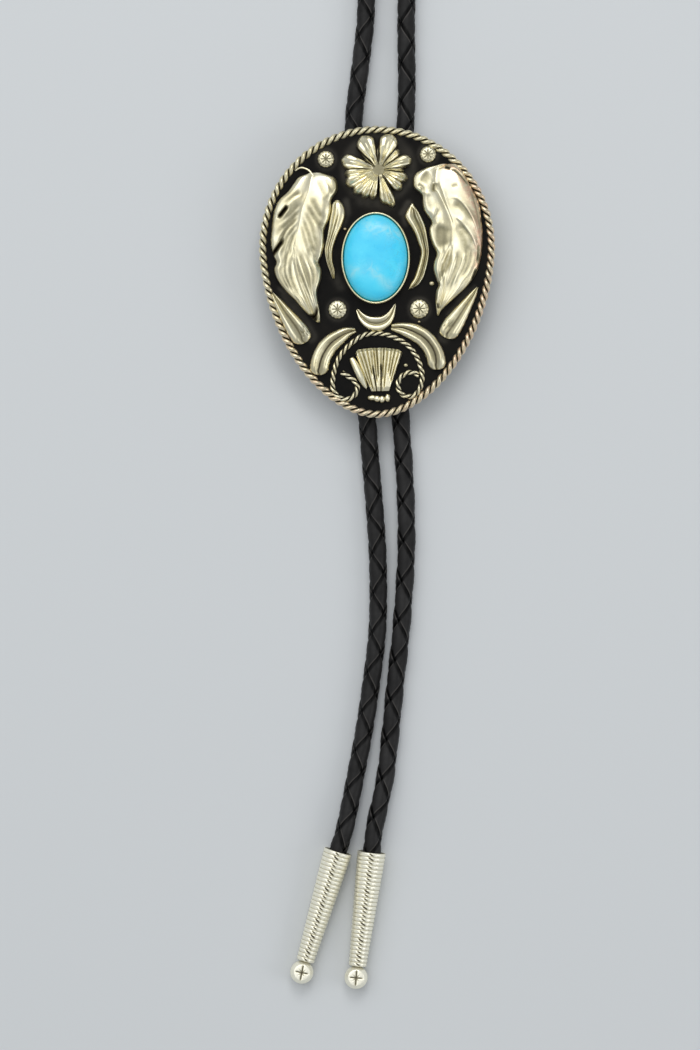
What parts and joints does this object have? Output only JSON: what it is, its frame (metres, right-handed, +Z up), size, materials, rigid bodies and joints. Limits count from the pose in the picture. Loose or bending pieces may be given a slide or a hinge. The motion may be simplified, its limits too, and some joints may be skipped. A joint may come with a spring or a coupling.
{
  "type": "bolo tie",
  "caption": "Bolo tie lying flat: an egg-shaped silver slide with raised leaves, flower and oval blue stone on a black braided leather cord with ribbed metal tips.",
  "frame": {"origin": "middle of the back clip's flat underside, on the surface that the tie lies on, straight below the middle of the slide", "axes": "+Y from the tips towards the slide's top and the neck loop, +Z up out of the slide's front, +X to the right in the picture"},
  "size_m": [0.118, 0.4386, 0.0123],
  "materials": {
    "nickel_silver": "pale yellowish polished metal on the raised ornaments, black antiqued plate ground and recesses",
    "turquoise": "bright sky blue cabochon with faint pale clouds and a soft gloss",
    "plated_steel": "plain plated sheet steel",
    "black_leather": "near-black braided leather lacing with a soft sheen",
    "tip_silver": "bright polished metal, ribbed, darkened between the ribs"
  },
  "bodies": {
    "root": {"silver_slide": "nickel_silver", "turquoise_cabochon": "turquoise", "back_clip": "plated_steel", "braided_cord": "black_leather", "left_tip": "tip_silver", "right_tip": "tip_silver"}
  },
  "joints": []
}
